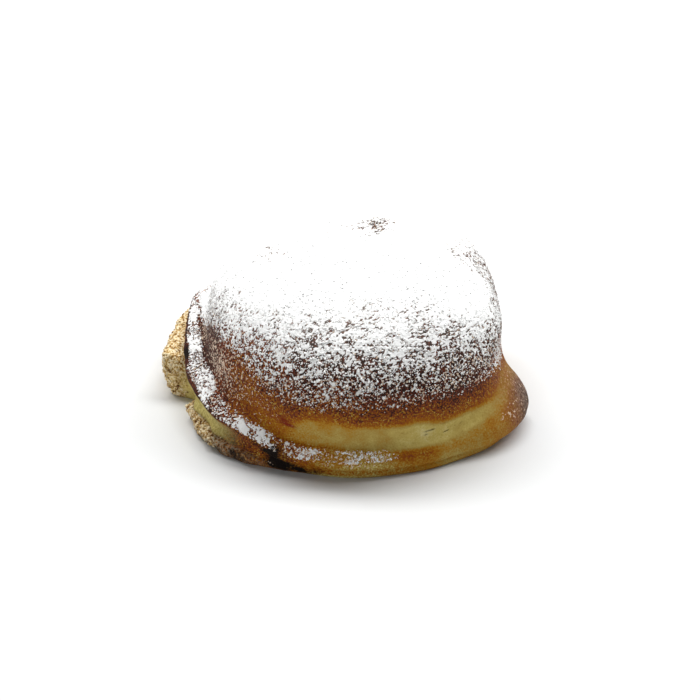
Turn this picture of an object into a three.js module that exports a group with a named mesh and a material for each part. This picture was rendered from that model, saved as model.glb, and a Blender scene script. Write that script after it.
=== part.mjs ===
// Sfogliatella frolla: a sheet of shortcrust folded over its filling, sealed round the curved side and baked
// until it puffs into a dome. One solid, in millimetres and degrees, +Z up. The origin is on the surface that
// the pastry stands on, under the middle of its box. +X is the straight folded side. -X is the curved side,
// where the seam has come open. Angles turn counterclockwise from +X, seen from above.

import * as THREE from "three";
import { LoftGeometry } from "three/addons/geometries/LoftGeometry.js";

// The dome
const HEIGHT = 43.5; // floor to crown
const FOLD_REACH = 40.3; // from the dome's axis to the straight folded side
const CURVED_REACH = 35.6; // to the curved side opposite
const DEPTH_REACH = 39.2; // to the front and to the back
const CORNER_FULLNESS = 1.18; // how far the oval overshoots the fold, which fills the corners beside it
const CORNER_SHARPNESS = 7; // how tightly those corners turn
const LEAST_FOLD_COSINE = 0.05; // past this slant the fold's line is too far out to count
const BELLY_HEIGHT = 17; // where the wall is widest
const BELLY_LIFT_OVER_SEAM = 5; // the open seam sits higher, and so does the belly above it
const BELLY_LIFT_OVER_EAR = 3;
const DOME_POWER = 2.25; // 2 is a plain ellipse, and more is boxier
const FLANK_SPREAD = 2.6; // at the back of the curved side the dome spreads out over the lip
const FLANK_POWER = 1.65; // and slopes more evenly
const CROWN_LEAN = new THREE.Vector2(2.6, 2); // how far the crown stands off the dome's axis
const DOME_RINGS = 7;

// Sections of the rim, each from the foot of the wall down to the floor, as [out from the wall, up from the
// floor]. In every section the points are the wall's foot, the ledge, the lip's edge, the lip's underside,
// the seam, the lower dough's inner top, its edge and its line on the floor.
const SEALED_RIM = [
  [-0.7, 8.8], [0.3, 6.9], [1.2, 4.8], [1.2, 2.6], [0.7, 2], [0.9, 1.5], [1, 0.8], [0.5, 0],
];
const OPEN_SEAM = [
  [0.9, 14.4], [3.8, 13.2], [5.9, 11.2], [5.3, 9.3], [4.2, 8], [5, 4.6], [6.8, 3.5], [6, 0],
];
const TORN_TAB = [
  [4.2, 20.6], [5.7, 19.8], [7.2, 18.4], [7.2, 16], [7.4, 14], [10.6, 11.6], [12, 6.2], [10.4, 0],
];
const EAR = [
  [2.2, 15.8], [5.5, 11.6], [7.9, 7.6], [8.4, 4.1], [6.8, 2.5], [6, 1.7], [5.2, 0.9], [4.2, 0],
];
const FOLDED_SIDE = [
  [-0.5, 9.5], [-1, 7], [-1.6, 5], [-2.2, 3.3], [-2.6, 2.4], [-3, 1.6], [-3.6, 0.8], [-4.4, 0],
];
const LIP_POINTS = [1, 2, 3];
const FIRST_FOOT_POINT = 5; // the lower dough's points start here

// Where the sections lie: full from one angle to the other, easing in before and out after
const SEAM_SPAN = { from: 126, to: 214, easeIn: 34, easeOut: 42 };
const TAB_SPAN = { from: 126, to: 182, easeIn: 34, easeOut: 6 }; // the lower dough ends at a tear
const TAB_LIP_SPAN = { from: 126, to: 152, easeIn: 34, easeOut: 44 }; // the lip over it slants down
const FLANK_SPAN = { from: 138, to: 150, easeIn: 44, easeOut: 34 };
const EAR_SPAN = { from: 338, to: 342, easeIn: 32, easeOut: 17 };
const BACK_EAR_SPAN = { from: 42, to: 46, easeIn: 17, easeOut: 30 };
const BACK_EAR_SHARE = 0.55; // the ear at the far end of the fold is the smaller one
const FOLD_SPAN = { from: 359, to: 387, easeIn: 14, easeOut: 14 };

// The gap where a piece of the lower dough has broken off
const NOTCH_SPAN = { from: 189.5, to: 195.5, easeIn: 5, easeOut: 4 };
const NOTCH_FLOOR_OUT = 3.6; // how far out of the wall the dough still reaches in the gap

// Unevenness
const LUMP = 0.7; // slow swells of the dome
const RIM_WAVE = 0.4; // the hand-sealed rim wanders in and out by this much
const RIM_RISE = 0.06; // and up and down by this share of its height
const RISE_LAG = 40; // degrees between the one and the other
const LIP_CRAG = 0.25; // roughness of the upper dough's edge where the seam is open
const FOOT_CRAG = 0.8; // roughness of the lower dough's torn edge
// Each wave is [share of the whole, waves in one turn of the pastry, phase in radians].
const RIM_WAVES = [[0.5, 5, 1], [0.3, 9, 2.3], [0.2, 14, 4]];
const SWELLS = [[0.6, 3, 0.8], [0.4, 5, 2.6]];
const HEAVES = [[1, 2, 1.1]];
// On torn dough the phase is a step from each point of the profile to the next.
const CRAGS = [[0.45, 17, 2.1], [0.35, 29, 4.7], [0.2, 43, 1.3]];

// Faceting
const COLUMNS = 132;
const ROWS_PER_SPAN = 3; // rows between neighbouring points of a profile
const FINE_SIDE = 195; // columns crowd together round this angle
const CROWDING = 0.45;

const radians = THREE.MathUtils.degToRad;

// Degrees past a starting angle, from -180 to 180
function turnFrom(start, angle) {
  return THREE.MathUtils.euclideanModulo(angle - start + 180, 360) - 180;
}

// 1 inside a span, easing to 0 over the degrees before and after it
function within({ from, to, easeIn, easeOut }, angle) {
  const half = (to - from) / 2;
  const turn = turnFrom((from + to) / 2, angle);
  const rise = THREE.MathUtils.smoothstep(turn, -half - easeIn, -half);
  const fall = 1 - THREE.MathUtils.smoothstep(turn, half, half + easeOut);
  return rise * fall;
}

// Distance from the axis to the wall's belly: an oval cut off by the straight fold, with a rounded join
function wallRadius(angle) {
  const cos = Math.cos(radians(angle));
  const sin = Math.sin(radians(angle));
  const reach = cos > 0 ? FOLD_REACH * CORNER_FULLNESS : CURVED_REACH;
  const oval = 1 / Math.hypot(cos / reach, sin / DEPTH_REACH);
  const fold = FOLD_REACH / Math.max(cos, LEAST_FOLD_COSINE);
  return (oval ** -CORNER_SHARPNESS + fold ** -CORNER_SHARPNESS) ** (-1 / CORNER_SHARPNESS);
}

// How much of each section there is at an angle, with the torn tab over a given span. The shares add up to 1.
function sectionShares(angle, tabSpan) {
  const tab = within(tabSpan, angle);
  const seam = within(SEAM_SPAN, angle) - tab;
  const ear = within(EAR_SPAN, angle) + BACK_EAR_SHARE * within(BACK_EAR_SPAN, angle);
  const fold = within(FOLD_SPAN, angle);
  return { seam, tab, ear, fold, sealed: 1 - seam - tab - ear - fold };
}

// Unevenness, about -1 to 1, as a sum of unlike waves round the pastry
function unevenness(waves, angle) {
  const a = radians(angle);
  return waves.reduce((sum, [share, turns, phase]) => sum + share * Math.sin(turns * a + phase), 0);
}

// The same, changing from point to point down a torn edge
function crag(angle, point) {
  return unevenness(CRAGS.map(([share, turns, step]) => [share, turns, step * point]), angle);
}

// The rim at an angle, from the floor up, as points of [radius, height]
function rimProfile(angle) {
  const lipShares = sectionShares(angle, TAB_LIP_SPAN);
  const footShares = sectionShares(angle, TAB_SPAN);
  const wall = wallRadius(angle);
  const gap = within(NOTCH_SPAN, angle);
  const torn = within(SEAM_SPAN, angle) * (1 - gap);
  const handSealed = 1 - within(FOLD_SPAN, angle);
  return SEALED_RIM.map((_, i) => {
    const onFloor = i === SEALED_RIM.length - 1;
    const isFoot = i >= FIRST_FOOT_POINT;
    const shares = isFoot ? footShares : lipShares;
    const blend = (axis) =>
      shares.sealed * SEALED_RIM[i][axis] +
      shares.seam * OPEN_SEAM[i][axis] +
      shares.tab * TORN_TAB[i][axis] +
      shares.ear * EAR[i][axis] +
      shares.fold * FOLDED_SIDE[i][axis];
    let out = blend(0) + RIM_WAVE * handSealed * unevenness(RIM_WAVES, angle);
    let up = blend(1);
    if (isFoot) {
      out = THREE.MathUtils.lerp(out, NOTCH_FLOOR_OUT, gap) + FOOT_CRAG * torn * crag(angle, i);
    }
    if (LIP_POINTS.includes(i)) out += LIP_CRAG * torn * crag(angle, i);
    if (!onFloor) up *= 1 + RIM_RISE * handSealed * unevenness(RIM_WAVES, angle + RISE_LAG);
    return [wall + out, up];
  }).reverse();
}

// The dome at an angle, from the belly to the crown, as points of [radius, height] on a superellipse with
// swells
function domeProfile(angle) {
  const shares = sectionShares(angle, TAB_LIP_SPAN);
  const flank = within(FLANK_SPAN, angle);
  const wall = wallRadius(angle) + FLANK_SPREAD * flank;
  const power = THREE.MathUtils.lerp(DOME_POWER, FLANK_POWER, flank);
  const overSeam = shares.seam + shares.tab;
  const belly = BELLY_HEIGHT + BELLY_LIFT_OVER_SEAM * overSeam + BELLY_LIFT_OVER_EAR * shares.ear;
  const points = [];
  for (let ring = 0; ring <= DOME_RINGS; ring++) {
    const slope = (Math.PI / 2) * (1 - ring / DOME_RINGS); // a quarter turn at the belly, 0 at the crown
    const across = Math.sin(slope) ** (2 / power);
    const rise = Math.max(Math.cos(slope), 0) ** (2 / power);
    const swell = LUMP * Math.sin(slope) ** 2 * unevenness(SWELLS, angle);
    const heave = LUMP * Math.sin(2 * slope) * unevenness(HEAVES, angle);
    points.push([wall * across + swell, belly + (HEIGHT - belly) * rise + heave]);
  }
  return points;
}

// One column of the surface: a smooth curve from the floor to the crown, in the upright plane at that angle
function column(angle) {
  const direction = new THREE.Vector2(1, 0).rotateAround(new THREE.Vector2(), radians(angle));
  const points = [...rimProfile(angle), ...domeProfile(angle)].map(([radius, height]) => {
    const lean = THREE.MathUtils.smoothstep(height, BELLY_HEIGHT, HEIGHT);
    const x = radius * direction.x + CROWN_LEAN.x * lean;
    const y = radius * direction.y + CROWN_LEAN.y * lean;
    return new THREE.Vector3(x, y, height);
  });
  const curve = new THREE.CatmullRomCurve3(points, false, "centripetal");
  return curve.getPoints(ROWS_PER_SPAN * (points.length - 1));
}

// The columns' angles, closer together on the side with the torn seam
function columnAngle(index) {
  const even = (360 * index) / COLUMNS;
  return even - CROWDING * THREE.MathUtils.radToDeg(Math.sin(radians(even - FINE_SIDE)));
}

function pastryGeometry() {
  const columns = Array.from({ length: COLUMNS }, (_, i) => column(columnAngle(i)));
  // The last row is the crown's single point, so the loft stops one row short and a small cap closes it.
  const rowCount = columns[0].length - 1;
  const rows = Array.from({ length: rowCount }, (_, row) => columns.map((points) => points[row]));
  const geometry = new LoftGeometry(rows, { capStart: true, capEnd: true });
  geometry.computeBoundingBox();
  const middle = geometry.boundingBox.getCenter(new THREE.Vector3());
  return geometry.translate(-middle.x, -middle.y, 0);
}

const bakedCrust = new THREE.MeshStandardMaterial({ color: 0xa9783f, roughness: 0.75, metalness: 0 });

const pastry = new THREE.Mesh(pastryGeometry(), bakedCrust);
pastry.name = "pastry";

const sfogliatella = new THREE.Group();
sfogliatella.add(pastry);

export default sfogliatella;
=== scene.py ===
# %% [markdown]
# # A sfogliatella frolla
# This pastry is a round of sweet shortcrust folded over a ricotta filling, pressed shut round the curved
# side and baked until it puffs up. The oven browns the top and leaves a pale waist, and here it has also
# burst the seam on the left, where the torn lower dough shows. Icing sugar is sifted over it at the end.
#
# The solid from the CAD step is the frame of this lesson. It has the right form with few facets. The same
# form is worked out again here on a finer grid, and then gets its crumb, its colours and its sugar.

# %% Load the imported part
import itertools

import bpy
import numpy as np
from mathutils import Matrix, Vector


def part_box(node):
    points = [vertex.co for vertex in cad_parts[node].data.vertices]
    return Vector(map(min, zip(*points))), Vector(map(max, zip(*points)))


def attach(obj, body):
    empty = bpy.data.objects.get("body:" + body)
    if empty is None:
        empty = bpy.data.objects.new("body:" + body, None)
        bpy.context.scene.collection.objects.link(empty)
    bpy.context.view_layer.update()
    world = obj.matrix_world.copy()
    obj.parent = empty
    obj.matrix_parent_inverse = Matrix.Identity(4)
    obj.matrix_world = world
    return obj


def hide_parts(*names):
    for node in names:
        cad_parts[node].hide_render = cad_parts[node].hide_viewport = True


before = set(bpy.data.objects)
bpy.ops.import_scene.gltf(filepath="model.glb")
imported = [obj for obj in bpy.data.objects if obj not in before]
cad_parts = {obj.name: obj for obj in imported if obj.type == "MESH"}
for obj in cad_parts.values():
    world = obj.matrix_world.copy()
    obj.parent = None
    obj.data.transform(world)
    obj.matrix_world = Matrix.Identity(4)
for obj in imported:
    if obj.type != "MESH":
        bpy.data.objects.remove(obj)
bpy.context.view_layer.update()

MM = 0.001  # shapes are worked out in millimetres, and Blender's unit is the metre
cad_low, cad_high = (np.array(corner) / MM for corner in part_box("pastry"))
print("CAD box in mm:", np.round(cad_high - cad_low, 1))

# %% [markdown]
# ## The form
# Seen from above, the pastry is an oval cut off by the straight fold. Each upright cut through it is one
# line: out from the floor, round the foot of lower dough, in to the seam, out round the lip of upper
# dough, along its ledge, and up the wall to the crown. So the whole crust is a function of two numbers:
# the angle round the axis, and how far along that line. Sculpting could give the form too, but a function
# can be sampled as finely as a piece needs, and whatever lies on the crust can ask it where the crust is.

# %% Sizes, in millimetres and degrees
HEIGHT = 43.5  # floor to crown
FOLD_REACH = 40.3  # from the dome's axis to the straight folded side
CURVED_REACH = 35.6  # to the curved side opposite
DEPTH_REACH = 39.2  # to the front and to the back
CORNER_FULLNESS = 1.18  # how far the oval overshoots the fold, which fills the corners beside it
CORNER_SHARPNESS = 7.0  # how tightly those corners turn
LEAST_FOLD_COSINE = 0.05  # past this slant the fold's line is too far out to count
BELLY_HEIGHT = 17.0  # where the wall is widest
BELLY_LIFT_OVER_SEAM = 5.0
BELLY_LIFT_OVER_EAR = 3.0
DOME_POWER = 2.25  # 2 is a plain ellipse, and more is boxier
FLANK_SPREAD = 2.6  # at the back of the curved side the dome spreads out over the lip
FLANK_POWER = 1.65  # and slopes more evenly
CROWN_LEAN = np.array([2.6, 2.0, 0.0])  # how far the crown stands off the axis
DOME_RINGS = 7

# Sections of the rim from the wall's foot down to the floor, as (out from the wall, up from the floor)
SEALED_RIM = [(-0.7, 8.8), (0.3, 6.9), (1.2, 4.8), (1.2, 2.6), (0.7, 2), (0.9, 1.5), (1, 0.8), (0.5, 0)]
OPEN_SEAM = [(0.9, 14.4), (3.8, 13.2), (5.9, 11.2), (5.3, 9.3), (4.2, 8), (5, 4.6), (6.8, 3.5), (6, 0)]
TORN_TAB = [(4.2, 20.6), (5.7, 19.8), (7.2, 18.4), (7.2, 16), (7.4, 14), (10.6, 11.6), (12, 6.2), (10.4, 0)]
EAR = [(2.2, 15.8), (5.5, 11.6), (7.9, 7.6), (8.4, 4.1), (6.8, 2.5), (6, 1.7), (5.2, 0.9), (4.2, 0)]
FOLDED_SIDE = [(-0.5, 9.5), (-1, 7), (-1.6, 5), (-2.2, 3.3), (-2.6, 2.4), (-3, 1.6), (-3.6, 0.8), (-4.4, 0)]
SECTIONS = np.array([SEALED_RIM, OPEN_SEAM, TORN_TAB, EAR, FOLDED_SIDE], float)[:, ::-1]

# Places along the line, counted from the floor up
FLOOR_LINE, FOOT_EDGE, FOOT_TOP, SEAM, LIP_UNDERSIDE, LIP_EDGE, LEDGE, WALL_FOOT, BELLY = range(9)
CROWN = BELLY + DOME_RINGS
print("places along the line:", CROWN + 1)

# %% Where the sections lie, and how uneven they are
# Each span is (full from, full to, degrees easing in before, degrees easing out after).
SEAM_SPAN = (126, 214, 34, 42)
TAB_SPAN = (126, 182, 34, 6)  # the lower dough ends at a tear
TAB_LIP_SPAN = (126, 152, 34, 44)  # the lip over it slants down
FLANK_SPAN = (138, 150, 44, 34)
EAR_SPAN = (338, 342, 32, 17)
BACK_EAR_SPAN = (42, 46, 17, 30)
BACK_EAR_SHARE = 0.55  # the ear at the far end of the fold is the smaller one
FOLD_SPAN = (359, 387, 14, 14)
NOTCH_SPAN = (189.5, 195.5, 5, 4)  # where a piece of the lower dough has broken off
NOTCH_FLOOR_OUT = 3.6  # how far out of the wall the dough still reaches there

LUMP = 0.7  # slow swells of the dome
RIM_WAVE = 0.4  # the hand-sealed rim wanders in and out by this much
RIM_RISE = 0.06  # and up and down by this share of its height
RISE_LAG = 40  # degrees between the one and the other
LIP_CRAG = 0.25  # roughness of the upper dough's edge where the seam is open
FOOT_CRAG = 0.8  # roughness of the lower dough's torn edge
# Each wave is (share of the whole, waves in one turn of the pastry, phase in radians).
RIM_WAVES = [(0.5, 5, 1), (0.3, 9, 2.3), (0.2, 14, 4)]
SWELLS = [(0.6, 3, 0.8), (0.4, 5, 2.6)]
HEAVES = [(1, 2, 1.1)]
CRAGS = [(0.45, 17, 2.1), (0.35, 29, 4.7), (0.2, 43, 1.3)]  # here the phase is a step for each place


def smoothstep(value, low, high):
    """An S-curve from 0 at low to 1 at high: three t squared minus two t cubed."""
    t = np.clip((value - low) / (high - low), 0, 1)
    return t * t * (3 - 2 * t)


def turn_from(centre, angle):
    """Degrees from one angle to another by the shorter way round, -180 to 180."""
    return (angle - centre + 180) % 360 - 180


def within(span, angle):
    """1 inside a span of angles, easing to 0 over the degrees before and after it."""
    start, end, ease_in, ease_out = span
    half = (end - start) / 2
    turn = turn_from((start + end) / 2, angle)
    return smoothstep(turn, -half - ease_in, -half) * (1 - smoothstep(turn, half, half + ease_out))


def unevenness(waves, angle, step=1):
    """A sum of unlike sine waves round the pastry, about -1 to 1. The step multiplies their phases."""
    a = np.radians(angle)
    return sum(share * np.sin(turns * a + phase * step) for share, turns, phase in waves)


print("share of the rim with an open seam:", within(SEAM_SPAN, np.arange(360)).mean().round(2))


# %% The rim's part of each cut
def wall_radius(angle):
    """Axis to belly: an oval and the fold's line, joined softly by adding high inverse powers."""
    cos, sin = np.cos(np.radians(angle)), np.sin(np.radians(angle))
    reach = np.where(cos > 0, FOLD_REACH * CORNER_FULLNESS, CURVED_REACH)
    oval = 1 / np.hypot(cos / reach, sin / DEPTH_REACH)
    fold = FOLD_REACH / np.maximum(cos, LEAST_FOLD_COSINE)
    return (oval**-CORNER_SHARPNESS + fold**-CORNER_SHARPNESS) ** (-1 / CORNER_SHARPNESS)


def section_shares(angle, tab_span):
    """How much of each section there is at an angle, in the order of SECTIONS. The shares add up to 1."""
    tab = within(tab_span, angle)
    seam = within(SEAM_SPAN, angle) - tab
    ear = within(EAR_SPAN, angle) + BACK_EAR_SHARE * within(BACK_EAR_SPAN, angle)
    fold = within(FOLD_SPAN, angle)
    return np.stack([1 - seam - tab - ear - fold, seam, tab, ear, fold])


def rim_cut(angle):
    """Radius and height of the rim's points: the sections mixed by share, with waves, crags and notch."""
    place = np.arange(SECTIONS.shape[1])[:, None]
    is_foot = place <= FOOT_TOP
    is_lip = (place >= LIP_UNDERSIDE) & (place <= LEDGE)
    foot_shares = section_shares(angle, TAB_SPAN)[:, None]
    lip_shares = section_shares(angle, TAB_LIP_SPAN)[:, None]
    out, up = np.einsum("spa,spn->apn", SECTIONS, np.where(is_foot, foot_shares, lip_shares))
    gap = within(NOTCH_SPAN, angle)
    torn = within(SEAM_SPAN, angle) * (1 - gap)
    hand_sealed = 1 - within(FOLD_SPAN, angle)
    out += RIM_WAVE * hand_sealed * unevenness(RIM_WAVES, angle)
    out += is_foot * gap * (NOTCH_FLOOR_OUT - out)
    out += (FOOT_CRAG * is_foot + LIP_CRAG * is_lip) * torn * unevenness(CRAGS, angle, WALL_FOOT - place)
    up *= 1 + RIM_RISE * hand_sealed * unevenness(RIM_WAVES, angle + RISE_LAG)
    return wall_radius(angle) + out, up


FRONT = 270.0  # degrees
print("height of the lip's edge at the front:", rim_cut(np.array([FRONT]))[1][LIP_EDGE].round(1), "mm")


# %% The dome's part, and the whole cut
def dome_cut(angle):
    """Radius and height from belly to crown: a superellipse with slow swells outwards and upwards."""
    _, seam, tab, ear, _ = section_shares(angle, TAB_LIP_SPAN)
    flank = within(FLANK_SPAN, angle)
    wall = wall_radius(angle) + FLANK_SPREAD * flank
    power = 2 / (DOME_POWER + (FLANK_POWER - DOME_POWER) * flank)
    belly = BELLY_HEIGHT + BELLY_LIFT_OVER_SEAM * (seam + tab) + BELLY_LIFT_OVER_EAR * ear
    slope = np.pi / 2 * (1 - np.arange(DOME_RINGS + 1) / DOME_RINGS)[:, None]
    across = np.sin(slope) ** power
    rise = np.maximum(np.cos(slope), 0) ** power
    swell = LUMP * np.sin(slope) ** 2 * unevenness(SWELLS, angle)
    heave = LUMP * np.sin(2 * slope) * unevenness(HEAVES, angle)
    return wall * across + swell, belly + (HEIGHT - belly) * rise + heave


def cut_points(angle):
    """All the points of a cut in space: the rim's, then the dome's, leaning to the crown with height."""
    radius, height = np.concatenate([np.stack(rim_cut(angle)), np.stack(dome_cut(angle))], axis=1)
    a = np.radians(angle)
    upright = np.stack([radius * np.cos(a), radius * np.sin(a), height], axis=-1)
    return upright + smoothstep(height, BELLY_HEIGHT, HEIGHT)[..., None] * CROWN_LEAN


print("points in each cut:", cut_points(np.array([0.0])).shape[0])


# %% A curve through the points of a cut
def curve_through(points, along):
    """A centripetal Catmull-Rom curve: four neighbours blended in pairs, thrice, over knots whose gaps are
    the square roots of the distances between them."""
    before, after = 2 * points[:1] - points[1:2], 2 * points[-1:] - points[-2:-1]
    padded = np.concatenate([before, points, after])
    span = np.clip(np.floor(along).astype(int), 0, len(points) - 2)
    near = [padded[span + step, np.arange(len(along))] for step in range(4)]
    gaps = [np.sqrt(np.linalg.norm(b - a, axis=-1, keepdims=True)) for a, b in itertools.pairwise(near)]
    knots = np.cumsum([np.zeros_like(gaps[0]), *gaps], axis=0)
    t = knots[1] + (along - span)[:, None] * gaps[1]

    def blend(a, b, start, end):
        return a + (t - knots[start]) / (knots[end] - knots[start]) * (b - a)

    first = [blend(near[i], near[i + 1], i, i + 1) for i in range(3)]
    second = [blend(first[i], first[i + 1], i, i + 2) for i in range(2)]
    return blend(*second, 1, 2)


halfway = np.array([(BELLY + CROWN) / 2])
print("halfway up the dome at the front:", curve_through(cut_points(np.array([FRONT])), halfway).round(1))

# %% The crust as a function of angle and place along the line
FINE_SIDE = 195  # columns of a grid crowd together round this angle
CROWDING = 0.45
SURVEY_COLUMNS, SURVEY_ROWS = 240, 91  # a coarse grid, enough to find the form's box
PROBE_TURN, PROBE_CLIMB = 0.05, 0.01  # degrees and places to each side of a point whose slope is measured


def spread_angles(count):
    """Angles round the pastry, closer together on the torn side: an even turn minus a sine."""
    even = 360 * np.arange(count) / count
    return even - CROWDING * np.degrees(np.sin(np.radians(even - FINE_SIDE)))


survey = np.meshgrid(spread_angles(SURVEY_COLUMNS), np.linspace(FLOOR_LINE, CROWN, SURVEY_ROWS))
survey_points = curve_through(cut_points(survey[0].ravel()), survey[1].ravel())
AXIS = ((cad_low + cad_high) - (survey_points.min(0) + survey_points.max(0))) / 2 * (1, 1, 0)
print("the dome's axis stands at", AXIS.round(2))


def crust_point(angle, along):
    """Where the crust is, in the part's frame: the curve through a cut's points, moved onto the axis."""
    return AXIS + curve_through(cut_points(angle), along)


def crust_frame(angle, along):
    """Point, outward unit normal and area of one degree by one place, from central differences."""
    along = np.clip(along, FLOOR_LINE + PROBE_CLIMB, CROWN - PROBE_CLIMB)
    sideways = crust_point(angle + PROBE_TURN, along) - crust_point(angle - PROBE_TURN, along)
    upwards = crust_point(angle, along + PROBE_CLIMB) - crust_point(angle, along - PROBE_CLIMB)
    cross = np.cross(sideways / (2 * PROBE_TURN), upwards / (2 * PROBE_CLIMB))
    area = np.linalg.norm(cross, axis=-1)
    return crust_point(angle, along), cross / area[:, None], area


print("front of the belly:", crust_point(np.array([FRONT]), np.array([float(BELLY)])).round(1))

# %% [markdown]
# ## Crumb and blisters
# Shortcrust tears into grains of flour and butter about a millimetre across, and baked dough has shallow
# blisters. A bump in the material would fade at the outline, where the torn tab shows best, so both are
# real relief. It comes from value noise: random numbers on a cubic lattice, eased between the lattice
# points.

# %% Noise and relief
GRANULE = 1.4  # mm, the torn dough's larger grains
FINE_GRANULE = 0.6
GRANULE_RELIEF = 0.6  # mm from the lowest to the highest
FINE_RELIEF = 0.4
BLISTER = 5.0
BLISTER_RELIEF = 0.22
TORN_ENDS = (1.6, 2.1)  # going up, the torn face ends between these places
TAB_TORN_RISE = 1.6  # and on the tab this many places further up
INSIDE_SPAN = (187, 196, 2.5, 3)  # the gap shows the smooth inside of the dough instead
RELIEF_ONSET = 1.0  # mm above the floor, over which relief begins
HASH_DIRECTION = (12.9898, 78.233, 37.719)  # unrelated, so that neighbours hash to unlike values
HASH_SCALE = 43758.5453
GRANULE_SEED, FINE_SEED, BLISTER_SEED, WANDER_SEED = 1, 2, 3, 4  # each noise has a seed of its own
CHAR_SEED, FLECK_SEED, COVER_SEED, RIM_SEED = 5, 6, 7, 8


def value_noise(points, size, seed):
    """Noise from 0 to 1: hashed values at the corners of cubes of this size, blended by an S-curve."""
    cell = np.floor(points / size)
    share = smoothstep(points / size - cell, 0, 1)
    total = np.zeros(len(points))
    for corner in itertools.product((0, 1), repeat=3):
        weight = np.prod(np.where(corner, share, 1 - share), axis=-1)
        spin = np.sin((cell + corner) @ HASH_DIRECTION + seed) * HASH_SCALE
        total += weight * (spin - np.floor(spin))
    return total


def torn_share(angle, along):
    """1 on the torn face of the lower dough, 0 on whole crust and in the gap."""
    seam = within(SEAM_SPAN, angle) * (1 - within(INSIDE_SPAN, angle))
    return seam * (1 - smoothstep(along - TAB_TORN_RISE * within(TAB_SPAN, angle), *TORN_ENDS))


def relief(angle, along, point):
    """Height above the plain form: granules on torn dough, blisters elsewhere, nothing on the floor."""
    torn = torn_share(angle, along)
    granules = GRANULE_RELIEF * (value_noise(point, GRANULE, GRANULE_SEED) - 0.5)
    granules += FINE_RELIEF * (value_noise(point, FINE_GRANULE, FINE_SEED) - 0.5)
    blisters = BLISTER_RELIEF * (value_noise(point, BLISTER, BLISTER_SEED) - 0.5)
    off_floor = smoothstep(point[:, 2], 0, RELIEF_ONSET)
    return off_floor * (torn * granules + (1 - torn) * blisters)


print("granules stand out by up to", (GRANULE_RELIEF + FINE_RELIEF) / 2, "mm")

# %% The crust's grid
COLUMNS = 660
ROWS_TO = [(FLOOR_LINE, 0), (SEAM, 38), (WALL_FOOT, 40), (BELLY, 24), (CROWN, 42)]  # (place, rows to it)
BASE_RINGS = 5


def crust_rows():
    """Places along the line for the grid's rows: each stretch divided evenly, without the crown."""
    stretches = [
        np.linspace(start, end, rows, endpoint=False)
        for (start, _), (end, rows) in itertools.pairwise(ROWS_TO)
    ]
    return np.concatenate(stretches)


def grid_triangles(rows, columns, closed):
    """Two triangles for each cell of a grid numbered row by row, joined at its sides if it is closed."""
    row, column = np.meshgrid(np.arange(rows - 1), np.arange(columns - (not closed)), indexing="ij")
    here = row * columns + column
    right = row * columns + (column + 1) % columns
    halves = [(here, right, right + columns), (here, right + columns, here + columns)]
    return np.concatenate([np.stack(half, axis=-1).reshape(-1, 3) for half in halves])


crust_angle, crust_along = (g.ravel() for g in np.meshgrid(spread_angles(COLUMNS), crust_rows()))
crust_plain, crust_normal, crust_area = crust_frame(crust_angle, crust_along)
crust_skin = crust_plain + relief(crust_angle, crust_along, crust_plain)[:, None] * crust_normal
crust_skin[crust_along == FLOOR_LINE, 2] = 0
print("points on the crust:", len(crust_skin))


# %% Close the crust at the base and the crown
def ball_triangles(rows, columns):
    """Triangles of a closed skin: its lowest point, rows of columns going up, and its highest point."""
    ring = np.arange(columns)
    following = (ring + 1) % columns
    highest = 1 + rows * columns
    low_fan = np.stack([np.zeros_like(ring), 1 + following, 1 + ring], axis=-1)
    top_row = highest - columns
    top_fan = np.stack([top_row + ring, top_row + following, np.full_like(ring, highest)], axis=-1)
    return np.concatenate([low_fan, 1 + grid_triangles(rows, columns, closed=True), top_fan])


def close_crust(skin):
    """Adds a flat base as rings shrinking to the axis, and the crown's single point."""
    share = (np.arange(1, BASE_RINGS) / BASE_RINGS)[:, None, None]
    base = AXIS + share * (skin[:COLUMNS] - AXIS)
    crown = crust_point(np.zeros(1), np.full(1, float(CROWN)))
    points = np.concatenate([AXIS[None], base.reshape(-1, 3), skin, crown])
    return points, ball_triangles((len(points) - 2) // COLUMNS, COLUMNS)


crust_points, crust_triangles = close_crust(crust_skin)
print("the closed crust has", len(crust_triangles), "triangles")

# %% [markdown]
# ## How far each place has baked
# The colour of a crust is a record of its heat. Sugar and protein brown from about 140 degrees: first
# straw, then gold, orange and dark brown, and at last they char. The oven's heat comes from above, so the
# shoulder is dark, the waist in the dome's shade stays pale, and thin edges burn. Each is worked out here
# as a number for every point of the crust and kept as an attribute, which the material turns into colour.
# Painting by hand would do too, but numbers follow the form if it changes.


# %% Reading lists and marks
def along_list(pairs, at):
    """Straight-line reading of a list of (place, value)."""
    places, values = zip(*pairs)
    return np.interp(at, places, values)


def round_list(pairs, angle):
    """Straight-line reading of a list of (angle, value), round and round the pastry."""
    angles, values = zip(*pairs)
    return np.interp(angle, angles, values, period=360)


def past(pairs, ease, angle, along):
    """0 below the place that a list gives for the angle and 1 above it, with an ease to each side."""
    return smoothstep(along - round_list(pairs, angle), -ease, ease)


def marks(mark_list, angle, along):
    """The strongest of a list of marks, each falling off as a bell curve in angle and in place."""
    strongest = np.zeros(len(angle))
    for mark_angle, mark_along, half_width, half_height, strength in mark_list:
        turn = turn_from(mark_angle, angle) / half_width
        climb = (along - mark_along) / half_height
        strongest = np.maximum(strongest, strength * np.exp(-(turn**2) - climb**2))
    return strongest


print("a list read halfway between 1 and 5:", along_list([(0, 1), (2, 5)], 1))

# %% How the wall browns
# Where brown gives way to pale on the wall: (angle, height in mm)
BROWN_LINE = [
    (20, 14), (60, 14), (100, 14), (140, 15), (185, 14), (205, 14), (225, 12), (235, 12), (245, 11.5),
    (255, 14.4), (265, 16.4), (275, 14.8), (285, 14.4), (295, 15), (305, 12.4), (315, 12), (325, 12.8),
    (335, 16), (349, 15),
]
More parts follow.
